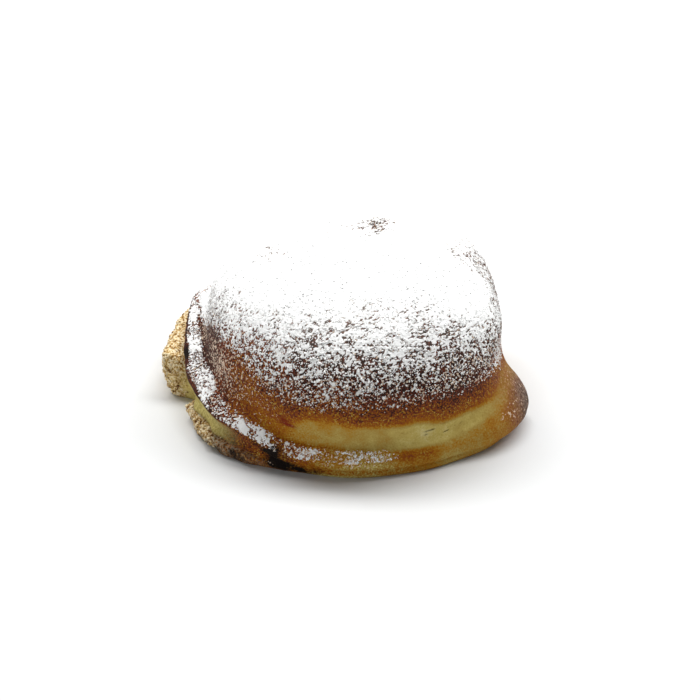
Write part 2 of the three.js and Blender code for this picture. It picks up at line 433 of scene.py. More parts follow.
# How many times wider the change from pale to dark is than at the front: (angle, times)
BROWN_SOFTNESS = [
    (20, 1.3), (60, 1.5), (140, 2.2), (205, 2.8), (235, 2.8), (245, 2.4), (255, 1.1), (330, 1),
]
# Millimetres above that line, and how far the crust has baked there
BAKE_RISE = [(-1.6, 0.1), (-0.4, 0.3), (0.6, 0.46), (2.6, 0.58), (5, 0.76), (9, 0.95)]
# How far even the palest dough of the waist has baked: (angle, bake)
WAIST_BAKE = [
    (20, 0.25), (60, 0.2), (140, 0.5), (165, 0.88), (185, 0.97), (205, 0.93), (218, 0.77), (232, 0.53),
    (245, 0.38), (255, 0.28), (265, 0.22), (275, 0.22), (285, 0.17), (295, 0.06), (305, 0.08),
    (315, 0.15), (325, 0.22), (335, 0.32), (349, 0.34),
]
LINE_WANDER = 2.4  # mm from the line's lowest stray to its highest
LINE_WANDER_LENGTH = 8.0


def wall_bake(angle, point):
    """How far the wall has baked: by height above a wandering line, and at least as far as the waist."""
    wander = LINE_WANDER * (value_noise(point, LINE_WANDER_LENGTH, WANDER_SEED) - 0.5)
    above = (point[:, 2] + wander - round_list(BROWN_LINE, angle)) / round_list(BROWN_SOFTNESS, angle)
    return np.maximum(along_list(BAKE_RISE, above), round_list(WAIST_BAKE, angle))


print("brown line at the front, mm:", round_list(BROWN_LINE, FRONT).round(1))

# %% How the rim browns
# How far the rim has baked round the pastry: (angle, bake)
RIM_BAKE = [
    (20, 0.4), (60, 0.45), (120, 0.6), (150, 0.8), (180, 0.95), (222, 0.9), (232, 0.66), (240, 0.58),
    (250, 0.52), (258, 0.42), (266, 0.32), (274, 0.27), (282, 0.24), (290, 0.34), (298, 0.37), (306, 0.2),
    (314, 0.25), (322, 0.31), (330, 0.41), (338, 0.47), (352, 0.45),
]
# The place where the rim's colour gives way to the wall's: (angle, place)
RIM_TOP = [(235, 6.05), (250, 6.5), (262, 6.65), (275, 6.45), (290, 6.1), (330, 6.05)]
RIM_TOP_EASE = 0.35  # places to each side of it
# Each mark is (angle, place along the line, half-width in degrees, half-height in places, strength).
# An orange line in the crease between the wall and the front rim, and the thin tip of the ear
BROWNER = [(293, 5.3, 12, 0.5, 0.1), (343, 4.8, 8, 1.4, 0.15)]
# The lower dough shows as a paler line under the front rim, and the rim's own face is paler there.
PALE_LAYER = [(266, 0.5, 10, 0.7, 0.34), (274, 4.4, 10, 0.5, 0.14)]


def rim_share(angle, along):
    """1 on the rim and 0 on the wall above it."""
    return 1 - past(RIM_TOP, RIM_TOP_EASE, angle, along)


def bake_level(angle, along, point):
    """0 for straw-coloured dough to 1 for dark brown: the wall's bake or the rim's, changed by marks."""
    wall = wall_bake(angle, point)
    bake = wall + rim_share(angle, along) * (round_list(RIM_BAKE, angle) - wall)
    return bake + marks(BROWNER, angle, along) - marks(PALE_LAYER, angle, along)


crust_bake = bake_level(crust_angle, crust_along, crust_plain)
print("bake from", crust_bake.min().round(2), "to", crust_bake.max().round(2))

# %% The open seam, char and flecks
RECESS_SPAN = (187, 216, 2.5, 18)  # where the open seam shows the pale inside of the dough
RECESS = (1.8, 2.2, 4.6, 5)  # it rises and falls between these places
CHAR_MARKS = [
    (246, 2, 5.5, 2.8, 1.1), (253, 1.4, 8, 1.3, 0.7), (243, 4.6, 6, 1.2, 0.8), (340, 4.3, 8, 0.7, 0.35),
    (185.5, 5.25, 3.6, 0.5, 1.4), (221, 0.1, 20, 0.65, 0.45), (230, 0.5, 4, 0.7, 0.9),
    (150, 5.3, 18, 0.3, 0.9), (216, 5.2, 14, 0.3, 0.45),
]
CHAR_BREAK = 1.7  # mm, the size of the gaps that break the marks up
CHAR_BREAK_SWING = 1.1
CHAR_GAIN = 1.2  # how strong a mark is between the gaps
CHAR_SPATTER = 0.3  # strength of the stray burnt spots beside a mark
CHAR_SPATTER_FROM = 0.1  # the least mark that has them
FLECK_SPAN = (294, 314, 4, 4)  # the part of the pale waist that has them
FLECK_HEIGHTS = (6.5, 8, 10.5, 12)  # mm, where the flecks begin, are all there, thin out and end
FLECK = np.array([1.8, 1.8, 0.5])  # mm, longer round the pastry than up it
FLECK_LEAST_NOISE = (0.7, 0.85)  # where a fleck begins, and where it is full


def inside_level(angle, along):
    """1 where the open seam and the gap show the unbaked inside of the dough, 0 elsewhere."""
    seam = within(RECESS_SPAN, angle) * smoothstep(along, *RECESS[:2])
    return np.maximum(seam, within(INSIDE_SPAN, angle)) * (1 - smoothstep(along, *RECESS[2:]))


def char_level(angle, along, point):
    """Burnt places: the marks, broken up by noise."""
    swing = CHAR_BREAK_SWING * (value_noise(point, CHAR_BREAK, CHAR_SEED) - 0.5)
    char = marks(CHAR_MARKS, angle, along)
    spatter = CHAR_SPATTER * swing * (char > CHAR_SPATTER_FROM)
    return np.clip(char * (CHAR_GAIN + swing) + spatter, 0, 1)


def fleck_level(angle, along, point):
    """Small brown flecks in the pale waist, where stretched noise rises high enough."""
    low, full, still_full, high = FLECK_HEIGHTS
    band = smoothstep(point[:, 2], low, full) * (1 - smoothstep(point[:, 2], still_full, high))
    peaks = smoothstep(value_noise(point / FLECK, 1, FLECK_SEED), *FLECK_LEAST_NOISE)
    return band * within(FLECK_SPAN, angle) * peaks * (along > WALL_FOOT)


crust_char = char_level(crust_angle, crust_along, crust_plain)
print("share of the crust's points that are burnt:", (crust_char > 0.5).mean().round(3))

# %% [markdown]
# ## Where the icing sugar lies
# Sifted sugar falls straight down. It stays where the crust is level, thins out as the crust steepens and
# slides off the wall, so the slope alone decides most of the cover. The rest is accident: patches on the
# rim that caught some, and a few places that the sieve missed. The crust keeps a fine haze of dust a
# little further down.

# %% Sugar on the dome
# How level the crust is, as the upward part of its normal, and the share of it that sugar hides
COVER_BY_LEVEL = [
    (0, 0), (0.1, 0.1), (0.2, 0.17), (0.32, 0.23), (0.4, 0.275), (0.5, 0.35), (0.62, 0.49), (0.72, 0.635),
    (0.78, 0.735), (0.84, 0.835), (0.9, 0.94), (0.94, 1.03), (0.98, 1.12),
]
# The crust holds sugar unequally round the pastry, as if it were more level: (angle, by how much)
HOLD = [
    (15, 0.06), (30, 0.1), (60, 0), (100, 0.2), (135, 0.42), (150, 0.48), (165, 0.5), (178, 0.34),
    (190, 0.18), (205, 0.14), (220, 0.13), (235, 0.08), (250, 0.02), (265, 0), (308, 0), (325, 0.2),
    (338, 0.33), (352, 0.2),
]
# Height in mm below which the wall has none of the dome's sugar: (angle, height)
SUGAR_FOOT = [
    (150, 16.5), (178, 17), (188, 20), (200, 23), (216, 23.7), (228, 21.5), (240, 18), (252, 16.5),
    (330, 16.5),
]
SUGAR_FOOT_EASE = 4.0  # mm over which it begins
COVER_PATCH = 11.0  # mm
COVER_PATCHINESS = 0.3
# Spots that the sieve missed: (mm right of the axis, mm behind it, half-width in mm, share missing)
SIEVE_MISSES = [
    (8, 11, 4.5, 0.7), (7, 5, 4, 0.42), (-4, 7, 7, 0.24), (28, 2, 6, 0.3), (-19, -1, 7, 0.27),
    (-20, 20, 9, 0.26), (35, -2, 8, 0.25), (-37.5, 16, 2.5, 0.6),
]


def dome_cover(angle, point, normal):
    """The share of the dome that sugar hides: by slope and patches, none low on the wall, less where the
    sieve missed."""
    level = along_list(COVER_BY_LEVEL, normal[:, 2] + round_list(HOLD, angle))
    unevenly = 2 * COVER_PATCHINESS * (value_noise(point, COVER_PATCH, COVER_SEED) - 0.5)
    above_foot = smoothstep(point[:, 2] - round_list(SUGAR_FOOT, angle), 0, SUGAR_FOOT_EASE)
    cover = level * (1 + unevenly * np.maximum(1 - level, 0)) * above_foot
    for right, behind, half_width, share in SIEVE_MISSES:
        away = np.hypot(*(point - AXIS)[:, :2].T - np.array([[right], [behind]])) / half_width
        cover -= share * np.exp(-(away**2))
    return cover


print("share hidden on a slope of 45 degrees:", along_list(COVER_BY_LEVEL, np.cos(np.pi / 4)).round(2))

# %% Sugar on the rim
# The sugar that the rim has caught: (angle, share), and between which places it lies: (angle, place)
RIM_SUGAR = [
    (20, 0), (60, 0.1), (100, 0.3), (130, 0.8), (150, 0.8), (180, 0.72), (188, 0.6), (193, 0.45),
    (200, 0.42), (206, 0.6), (212, 0.72), (216, 0.35), (219, 0.2), (225, 0.25), (229, 0.65), (238, 0.65),
    (242, 0.3), (247, 0.1), (250, 0.28), (254, 0.5), (258, 0.5), (261, 0.2), (265, 0.14), (268, 0.32),
    (271.5, 0.55), (275, 0.32), (280, 0.22), (286, 0.1), (290, 0),
]
RIM_SUGAR_FROM = [
    (135, 5.75), (160, 5.7), (178, 5.4), (183, 5.75), (188, 5.7), (193, 5.3), (206, 5.5), (212, 5.1),
    (235, 5), (250, 4.8), (258, 4.8), (282, 5),
]
RIM_SUGAR_TO = [(178, 6.8), (205, 7), (215, 6.7), (225, 6.4), (245, 6.4), (255, 6.1), (270, 6.2)]
RIM_SUGAR_EASE = 0.2  # places over which it begins and ends
RIM_PATCH = 2.2  # mm
RIM_PATCHES = (0.35, 1.65)  # the rim's sugar in its barest and its fullest patch


def rim_cover(angle, along, point):
    """The share of the rim that sugar hides: by angle, between two places, in patches."""
    begins = past(RIM_SUGAR_FROM, RIM_SUGAR_EASE, angle, along)
    ends = past(RIM_SUGAR_TO, RIM_SUGAR_EASE, angle, along)
    barest, fullest = RIM_PATCHES
    patches = barest + (fullest - barest) * value_noise(point, RIM_PATCH, RIM_SEED)
    return round_list(RIM_SUGAR, angle) * begins * (1 - ends) * patches


def sugar_cover(angle, along, point, normal):
    """The share of crust that sugar hides: the dome's or the rim's, whichever is more."""
    dome = dome_cover(angle, point, normal)
    return np.maximum(np.maximum(dome, rim_cover(angle, along, point)), 0)


crust_cover = sugar_cover(crust_angle, crust_along, crust_plain, crust_normal)
print("share of the crust under sugar:", ((crust_cover * crust_area).sum() / crust_area.sum()).round(2))

# %% Dust
# Dust too fine to stand out lies on the left wall, the front rim, the ear and the burnt corner.
DUST_MARKS = [
    (212, 7.7, 27, 1.1, 0.5), (180, 7.4, 14, 0.8, 0.5), (255, 5.4, 6, 0.9, 0.56),
    (271, 5.2, 6, 0.9, 0.56), (268, 5.2, 17, 1.1, 0.4), (329, 5.35, 4.5, 0.5, 0.38),
    (338.5, 4.7, 8, 0.9, 0.15), (337, 6.2, 11, 1.7, 0.12), (243, 1.6, 1.5, 0.3, 0.6),
]
# Thin sugar leaves dust between its tufts, and the few gaps in thick sugar show bare crust: (cover, dust)
DUST_BY_COVER = [(0, 0), (0.1, 0.28), (0.2, 0.38), (0.3, 0.34), (0.5, 0.26), (1, 0.15)]


def dust_level(angle, along, cover):
    """The share of the crust that is dusted: by the sugar's cover, or a mark where that is more."""
    return np.maximum(along_list(DUST_BY_COVER, cover), marks(DUST_MARKS, angle, along))


crust_dust = dust_level(crust_angle, crust_along, crust_cover)
print("dust at most:", crust_dust.max().round(2))

# %% [markdown]
# ## Baked shortcrust
# The dough is flour, butter, sugar and egg, rolled out and glazed by nothing but its own fat, so it is
# satin where it is whole and dull where it is torn. A painted picture could give its colours, but would
# blur close up, so they come from nodes. One ramp turns the bake number into colour. Blotches and a fine
# grain shift that number, because browning follows the dough's uneven texture. Over it come the places
# that differ: the ear's dried tip, the pale inside of the open seam, torn crumb, painted light on the
# torn tab's lower face, the red streak, flecks and char. Last comes the sugar that is too fine for a
# mesh: a haze in the gaps of the thick coat, and specks of dust.

# %% Colours and nodes
# A colour Mix node's sockets by number, because their names repeat
MIX_FACTOR, MIX_A, MIX_B, MIX_COLOUR = 0, 6, 7, 2


def linear(code):
    """An sRGB hex colour as linear red, green, blue and alpha, by the display curve's power of 2.4."""
    channel = np.array([int(code[i : i + 2], 16) for i in (1, 3, 5)]) / 255
    light = np.where(channel <= 0.04045, channel / 12.92, ((channel + 0.055) / 1.055) ** 2.4)
    return (*light.tolist(), 1.0)


def per_metre(size):
    """A texture's scale from the real size of its pattern in millimetres."""
    return 1 / (size * MM)


def add_node(tree, kind, inputs=None, stops=(), output=0, **settings):
    """Adds a node with its settings and colour stops, fills or links its inputs by name or number, and
    gives back one of its outputs, if it has any."""
    made = tree.nodes.new("ShaderNode" + kind)
    for name, value in settings.items():
        setattr(made, name, value)
    for i, (place, colour) in enumerate(stops):  # a new ramp already has two stops
        stop = made.color_ramp.elements[i] if i < 2 else made.color_ramp.elements.new(place)
        stop.position = place
        stop.color = linear(colour)
    for key, value in (inputs or {}).items():
        socket = made.inputs[key]
        if isinstance(value, bpy.types.NodeSocket):
            tree.links.new(value, socket)
        else:
            socket.default_value = value
    return made.outputs[output] if len(made.outputs) else None


def new_material(name):
    """A node material with no nodes yet, and its tree."""
    material = bpy.data.materials.new(name)
    material.use_nodes = True
    material.node_tree.nodes.clear()
    return material, material.node_tree


print("middle grey, linear:", np.round(linear("#808080"), 3))

# %% Colours and patterns of the dough
# Whole dough, from straw to dark brown: (bake, colour)
BAKE_COLOURS = [
    (0.0, "#d6ca90"), (0.1, "#c2ad60"), (0.2, "#ab9049"), (0.3, "#a97820"), (0.38, "#9e6409"),
    (0.47, "#924f03"), (0.58, "#8a4516"), (0.75, "#6a301f"), (1.0, "#281812"),
]
# The inside of the dough, torn crumb and the dried ear: (noise, colour)
INSIDE_COLOURS = [(0.38, "#b2a058"), (0.62, "#d6c880")]
CRUMB_COLOURS = [(0.36, "#6e4820"), (0.47, "#cda765"), (0.58, "#f6e8c6")]
DRY_COLOURS = [(0.36, "#48362f"), (0.5, "#6e594d"), (0.64, "#947d6c")]
# Painted light: a pale crumb colour that lightens the torn tab's lower face, which faces down
PAINTED_LIGHT_CRUMB = "#f8da8e"
RED_COLOUR = "#742008"
FLECK_COLOUR = "#43300f"
CHAR_COLOUR = "#150b07"
HAZE_COLOUR = "#ece2d6"
DUST_COLOUR = "#dcc5ae"  # specks so thin that the brown shows through
BLOTCH = 4.0  # mm, patches of uneven browning
BLOTCH_SHIFT = 0.3  # how far the blotches move the bake number
GRAIN = 0.42  # mm, flour and butter in the dough
GRAIN_RELIEF = 0.25  # mm
DUST_SIZE = 0.6  # mm, drawn coarser than real dust, which is too fine to show
DUST_NOISE = {"From Min": 0.3, "From Max": 0.7}  # the usual range of its noise, spread out to 0 to 1
DUST_EDGE = {"From Min": 1.05, "From Max": 1.15}  # dust plus noise, where a speck begins and is full
CHAR_EDGE = {"From Min": 0.65, "From Max": 1.35}  # char plus noise, where black begins and is full
print("stops from straw to dark brown:", len(BAKE_COLOURS))


# %% The crust's material
def baked_shortcrust():
    """Shortcrust: a bake ramp shifted by blotches and grain, then other dough, marks and dust over it."""
    material, tree = new_material("baked_shortcrust")
    place = add_node(tree, "TexCoord", output="Object")
    names = ("bake", "grain", "dry", "inside", "torn", "pale", "char", "red", "fleck", "haze", "dust")
    level = {name: add_node(tree, "Attribute", attribute_name=name, output="Fac") for name in names}
    texture = {"Vector": place, "Detail": 1.5, "Roughness": 0.6}
    sizes = {"blotch": BLOTCH, "crumb": FINE_GRANULE, "grain": GRAIN, "dust": DUST_SIZE}
    noise = {
        name: add_node(tree, "TexNoise", texture | {"Scale": per_metre(size)})
        for name, size in sizes.items()
    }
    lowered = add_node(tree, "Math", {0: level["bake"], 1: BLOTCH_SHIFT / 2}, operation="SUBTRACT")
    blotched = add_node(
        tree, "Math", {0: noise["blotch"], 1: BLOTCH_SHIFT, 2: lowered}, operation="MULTIPLY_ADD"
    )
    centred = add_node(tree, "Math", {0: noise["grain"], 1: 0.5}, operation="SUBTRACT")
    grained = add_node(
        tree, "Math", {0: centred, 1: level["grain"], 2: blotched}, operation="MULTIPLY_ADD"
    )
    colour = add_node(tree, "ValToRGB", {"Fac": grained}, stops=BAKE_COLOURS)
    crumb, dry, inside = [
        add_node(tree, "ValToRGB", {"Fac": noise["crumb"]}, stops=stops)
        for stops in (CRUMB_COLOURS, DRY_COLOURS, INSIDE_COLOURS)
    ]
    ragged = add_node(tree, "Math", {0: noise["grain"], 1: level["char"]}, operation="ADD")
    char = add_node(tree, "MapRange", {"Value": ragged} | CHAR_EDGE)
    spread = add_node(tree, "MapRange", {"Value": noise["dust"]} | DUST_NOISE)
    dusted = add_node(tree, "Math", {0: spread, 1: level["dust"]}, operation="ADD")
    specks = add_node(tree, "MapRange", {"Value": dusted} | DUST_EDGE)
    layers = [
        (level["dry"], dry),
        (level["inside"], inside),
        (level["torn"], crumb),
        # painted light on the torn tab's lower face
        (level["pale"], linear(PAINTED_LIGHT_CRUMB)),
        (level["red"], linear(RED_COLOUR)),
        (level["fleck"], linear(FLECK_COLOUR)),
        (char, linear(CHAR_COLOUR)),
        (level["haze"], linear(HAZE_COLOUR)),
        (specks, linear(DUST_COLOUR)),
    ]
    for share, over in layers:
        mix = {MIX_FACTOR: share, MIX_A: colour, MIX_B: over}
        colour = add_node(tree, "Mix", mix, data_type="RGBA", output=MIX_COLOUR)
    roughened = add_node(tree, "Math", {0: noise["grain"], 1: level["grain"]}, operation="MULTIPLY")
    bump = add_node(tree, "Bump", {"Height": roughened, "Strength": 0.9, "Distance": GRAIN_RELIEF * MM})
    finish = {"Roughness": 0.7, "IOR": 1.45, "Specular IOR Level": 0.15}
    shader = add_node(tree, "BsdfPrincipled", {"Base Color": colour, "Normal": bump} | finish)
    add_node(tree, "OutputMaterial", {"Surface": shader})
    return material


shortcrust = baked_shortcrust()
print("nodes in the crust's material:", len(shortcrust.node_tree.nodes))


# %% The crust as a piece
def add_piece(name, points, triangles, material, slot):
    """A smooth-shaded mesh object from arrays in millimetres, riding on the part's one body."""
    mesh = bpy.data.meshes.new(name)
    mesh.vertices.add(len(points))
    mesh.vertices.foreach_set("co", (points * MM).ravel())
    mesh.loops.add(triangles.size)
    mesh.loops.foreach_set("vertex_index", triangles.ravel().astype(np.int32))
    mesh.polygons.add(len(triangles))
    mesh.polygons.foreach_set("loop_start", np.arange(0, triangles.size, 3, dtype=np.int32))
    mesh.update(calc_edges=True)
    mesh.shade_smooth()
    mesh.materials.append(material)
    piece = bpy.data.objects.new(name, mesh)
    bpy.context.scene.collection.objects.link(piece)
    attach(piece, "root")
    print(name, "has", len(triangles), "triangles")
    return piece


crust = add_piece("pastry_crust", crust_points, crust_triangles, shortcrust, "crust")
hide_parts("pastry")

# %% The crust's levels
DRY_MARKS = [(341, 5.1, 12, 1.9, 1), (335, 6.5, 9, 1.5, 0.42)]  # the ear's thin dough dries out dull
TAB_PAINTED_LIGHT_MARKS = [(179, 0.85, 9, 0.85, 0.55)]  # painted light on the lower face of the tab
TOASTED_SPAN = (224, 256, 12, 8)  # towards the burnt corner the torn dough is toasted
TOASTED = 0.6
# A thin red-brown streak above the burnt corner
RED_STREAK = [(248.4, 7.46, 2.8, 0.06, 1.6), (247, 7.58, 2, 0.05, 1.4)]
# How far the grain moves the bake number: (bake, swing). Brown dough is the most uneven.
GRAIN_BY_BAKE = [(0.2, 0.18), (0.38, 0.55), (0.5, 1.4), (0.6, 2.2), (0.75, 2.2), (0.95, 1)]
# The pressed rim is as uneven as this at least: (angle, swing)
RIM_GRAIN = [(20, 0.5), (230, 0.9), (285, 0.9), (300, 0.4), (345, 0.5)]
# A haze of the finest dust greys the gaps in thick sugar: (cover, share)
HAZE_BY_COVER = [(0.32, 0), (0.42, 0.02), (0.55, 0.04), (0.7, 0.085), (0.9, 0.14)]
END_LEVELS = {"bake": (0.6, 0.95), "grain": (2, 1)}  # at the base and at the crown, where not 0


def with_ends(values, base, crown):
    """Values for the closed crust: the skin's own, and one for all the added points at each end."""
    added = 1 + (BASE_RINGS - 1) * COLUMNS
    return np.concatenate([np.full(added, base), values, [crown]])


def keep_levels(piece, levels):
    """Stores numbers for each point of a piece as attributes that its material reads by name."""
    for name, values in levels.items():
        piece.data.attributes.new(name, "FLOAT", "POINT").data.foreach_set("value", values)
        print(piece.name, name, "from", values.min().round(2), "to", values.max().round(2))


rim_grain = round_list(RIM_GRAIN, crust_angle) * rim_share(crust_angle, crust_along)
crust_toasted = within(TOASTED_SPAN, crust_angle)
crust_levels = {
    "bake": crust_bake,
    "grain": np.maximum(along_list(GRAIN_BY_BAKE, crust_bake), rim_grain),
    "dry": marks(DRY_MARKS, crust_angle, crust_along),
    "inside": inside_level(crust_angle, crust_along),
    "torn": torn_share(crust_angle, crust_along) * (1 - TOASTED * crust_toasted),
    # painted light on the torn tab's lower face
    "pale": marks(TAB_PAINTED_LIGHT_MARKS, crust_angle, crust_along),
    "char": crust_char,
    "red": np.minimum(marks(RED_STREAK, crust_angle, crust_along), 1),
    "fleck": fleck_level(crust_angle, crust_along, crust_plain),
    "haze": along_list(HAZE_BY_COVER, crust_cover),
    "dust": crust_dust,
}
closed_levels = {
    name: with_ends(values, *END_LEVELS.get(name, (0, 0))) for name, values in crust_levels.items()
}
keep_levels(crust, closed_levels)

# %% [markdown]
# ## Icing sugar
# Icing sugar is milled so fine that it clings in tufts of a few tenths of a millimetre. Where it lies
# thick, it is one white coat with a broken edge, and where it lies thin, it is loose tufts. White paint
# would be flat at the outline, and a coat of tufts alone would take far too many. So there are two kinds
# of piece. The coat is a sheet over the crust, as high as the cover exceeds a noise of tuft size, and it
# dips under the crust where the noise wins. The tufts are small rough solids, scattered by the cover.

# %% A sheet of sugar
SUGAR_DEPTH = 0.15  # mm
SHEET_REACH = (-0.3, 0.8)  # how far the sheet goes under the crust and out of it, in those depths
TUFT_SIZES = [(0.48, 0.4, 11), (0.26, 0.4, 12), (1.8, 0.2, 13)]  # (mm, share, seed)
TUFT_SPREAD = 1.75  # turns the noise's bell curve into an even spread from 0 to 1
COAT_POWER = 1.25  # thins the coat where the dust already hides some of the crust
FULL_DEPTH = 0.3  # how far the cover must exceed the noise for the sugar to look quite white


def even_noise(point):
    """Tuft noise spread evenly from 0 to 1: noises of three sizes added, then an S-curve of the sum."""
    mixed = sum(share * value_noise(point, size, seed) for size, share, seed in TUFT_SIZES)
    return 1 / (1 + np.exp(-TUFT_SPREAD * (mixed - mixed.mean()) / mixed.std()))


def sugar_sheet(angle, along):
    """A sheet of sugar over a grid of places: its points, how deep it is at each, and the triangles that
    rise out of the crust."""
    point, normal, _ = crust_frame(angle.ravel(), along.ravel())
    excess = sugar_cover(angle.ravel(), along.ravel(), point, normal) ** COAT_POWER - even_noise(point)
    raised = relief(angle.ravel(), along.ravel(), point) + SUGAR_DEPTH * np.clip(excess, *SHEET_REACH)
    triangles = grid_triangles(*angle.shape, closed=False)
    depth = np.clip(excess / FULL_DEPTH, 0, 1)
    return point + raised[:, None] * normal, depth, triangles[(excess[triangles] > 0).any(axis=1)]


print("the coat stands out by up to", round(SUGAR_DEPTH * SHEET_REACH[1], 2), "mm")

# %% The coat
COAT_STEP = 0.22  # mm between the points of the sheet on the shoulder
COAT_REACH = 50.0  # mm from the crown to the sheet's edge, in steps of that size
CROWN_STRETCH = 12.0  # mm by which coarser steps round the crown push the rest outwards
LINE_POINTS = 200  # points on each line that measures the dome
LINE_TURN = 15.0  # degrees between those lines
LEDGE_ENDS = (95, 296)  # degrees between which the ledge has a sheet of its own
LEDGE_TURN = 0.35  # degrees between its columns
LEDGE_CLIMB = 0.07  # places between its rows
LEDGE_MARGIN = 0.25  # places by which it passes the lip's edge and the wall's foot


def places_from_crown(distance):
    """Place along the line at a distance from the crown, measured on the crust and averaged round it."""
    along = np.linspace(WALL_FOOT, CROWN, LINE_POINTS)
    angle = np.arange(0, 360, LINE_TURN)
    lines = crust_point(np.repeat(angle, len(along)), np.tile(along, len(angle)))
    steps = np.linalg.norm(np.diff(lines.reshape(len(angle), len(along), 3), axis=1), axis=-1).mean(0)
    left = np.append(np.cumsum(steps[::-1])[::-1], 0)
    return np.interp(distance, left[::-1], along[::-1])


def crown_grid():
    """A square grid laid over the dome from the crown: direction gives the angle, distance the place. The
    distance is stretched near the crown, where the coat has few holes and needs fewer points."""
    side = np.arange(-COAT_REACH, COAT_REACH, COAT_STEP) + COAT_STEP / 2
    x, y = np.meshgrid(side, side)
    steps = np.hypot(x, y)
    distance = steps + CROWN_STRETCH * np.tanh(steps / CROWN_STRETCH)
    return np.degrees(np.arctan2(y, x)), places_from_crown(distance)


def ledge_grid():
    """Evenly spaced angles and places over the lip and its ledge."""
    rows = np.arange(LIP_EDGE - LEDGE_MARGIN, WALL_FOOT + LEDGE_MARGIN, LEDGE_CLIMB)
    return np.meshgrid(np.arange(*LEDGE_ENDS, LEDGE_TURN), rows)


def joined(sheets):
    """Several sheets as one set of points, depths and triangles, without points that no triangle uses."""
    points, depths, triangles = zip(*sheets)
    starts = np.cumsum([0, *map(len, points[:-1])])
    every = np.concatenate([t + s for t, s in zip(triangles, starts)])
    used, corner = np.unique(every, return_inverse=True)
    return np.concatenate(points)[used], np.concatenate(depths)[used], corner.reshape(-1, 3)


dome_sheet = sugar_sheet(*crown_grid())
ledge_sheet = sugar_sheet(*ledge_grid())
coat_points, coat_depth, coat_triangles = joined([dome_sheet, ledge_sheet])
print("coat triangles on the dome and the ledge:", len(dome_sheet[2]), len(ledge_sheet[2]))

# %% The sugar's material
POWDER = 0.35  # mm, drawn coarser than real icing sugar, which is too fine to show
POWDER_SWING = 0.8  # how much its noise adds to the depth
# From a film that the crust shows through to full white: (depth plus noise, colour)
DEPTH_COLOURS = [(0.3, "#7a6a61"), (0.46, "#c4bdb8"), (0.66, "#eeeeec"), (0.9, "#fbfbfa")]


def icing_sugar():
    """Icing sugar: a white powder with no gloss, letting the crust's brown through where it is thin."""
    material, tree = new_material("icing_sugar")
    place = add_node(tree, "TexCoord", output="Object")
    depth = add_node(tree, "Attribute", attribute_name="depth", output="Fac")
    powder = add_node(tree, "TexNoise", {"Vector": place, "Scale": per_metre(POWDER), "Detail": 1.0})
    thickness = add_node(tree, "Math", {0: powder, 1: POWDER_SWING, 2: depth}, operation="MULTIPLY_ADD")
    colour = add_node(tree, "ValToRGB", {"Fac": thickness}, stops=DEPTH_COLOURS)
    finish = {"Roughness": 0.95, "IOR": 1.3, "Specular IOR Level": 0.2}
    shader = add_node(tree, "BsdfPrincipled", {"Base Color": colour} | finish)
    add_node(tree, "OutputMaterial", {"Surface": shader})
    return material


sugar = icing_sugar()
coat = add_piece("sugar_coat", coat_points, coat_triangles, sugar, "icing_sugar")
keep_levels(coat, {"depth": coat_depth})

# %% Scattering
cell_width = np.diff(np.append(spread_angles(COLUMNS), spread_angles(COLUMNS)[0] + 360))
cell_height = np.diff(np.append(crust_rows(), CROWN))
cell_area = crust_area * np.outer(cell_height, cell_width).ravel()


def scatter(density, count, rng):
    """Random places on the crust: grid cells drawn by area times density, then a random spot in each."""
    weight = cell_area * density
    cell = rng.choice(len(weight), count, p=weight / weight.sum())
    row, column = np.divmod(cell, COLUMNS)
    angle = crust_angle[cell] + rng.random(count) * cell_width[column]
    return angle, crust_along[cell] + rng.random(count) * cell_height[row]


print("area of the crust:", cell_area.sum().round(), "square mm")

# %% Grains
GRAIN_STRETCH = (0.75, 1.25)  # each grain is stretched along its three axes by a share between these
GRAIN_DENTS = (0.8, 1.2)  # and each of its points is pulled in or out by one between these


def pebble(rings, sides):
    """A ball with few faces: rings between two poles, each turned half a step from the one below."""
    rise = np.pi * (np.arange(rings) + 1) / (rings + 1) - np.pi / 2
    turn = 2 * np.pi * (np.arange(sides)[None] + np.arange(rings)[:, None] / 2) / sides
    ring = [np.cos(rise)[:, None] * np.cos(turn), np.cos(rise)[:, None] * np.sin(turn)]
    body = np.stack([*ring, np.broadcast_to(np.sin(rise)[:, None], turn.shape)], axis=-1)
    points = np.concatenate([[[0, 0, -1]], body.reshape(-1, 3), [[0, 0, 1]]])
    return points, ball_triangles(rings, sides)


def random_turns(count, rng):
    """Rotation matrices from random unit quaternions."""
    quaternions = rng.normal(size=(4, count))
    w, x, y, z = quaternions / np.linalg.norm(quaternions, axis=0)
    rows = [
        [1 - 2 * (y * y + z * z), 2 * (x * y - w * z), 2 * (x * z + w * y)],
        [2 * (x * y + w * z), 1 - 2 * (x * x + z * z), 2 * (y * z - w * x)],
        [2 * (x * z - w * y), 2 * (y * z + w * x), 1 - 2 * (x * x + y * y)],
    ]
    return np.moveaxis(np.array(rows), -1, 0)


def grains(angle, along, width, shape, stand, rng):
    """One joined set of rough grains: the shape stretched, dented and turned at random, standing out of
    the crust by a share of its width."""
    points, triangles = shape
    count = len(angle)
    ground, normal, _ = crust_frame(angle, along)
    centre = ground + (relief(angle, along, ground) + stand * width)[:, None] * normal
    stretch = rng.uniform(*GRAIN_STRETCH, (count, 1, 3))
    dents = rng.uniform(*GRAIN_DENTS, (count, len(points), 1))
    local = points * stretch * dents * width[:, None, None] / 2
    placed = np.einsum("nij,npj->npi", random_turns(count, rng), local) + centre[:, None]
    numbered = triangles + len(points) * np.arange(count)[:, None, None]
    return placed.reshape(-1, 3), numbered.reshape(-1, 3)


fine_grain = pebble(rings=1, sides=4)
coarse_grain = pebble(rings=2, sides=5)
print("a fine grain has", len(fine_grain[1]), "triangles, a coarse one", len(coarse_grain[1]))

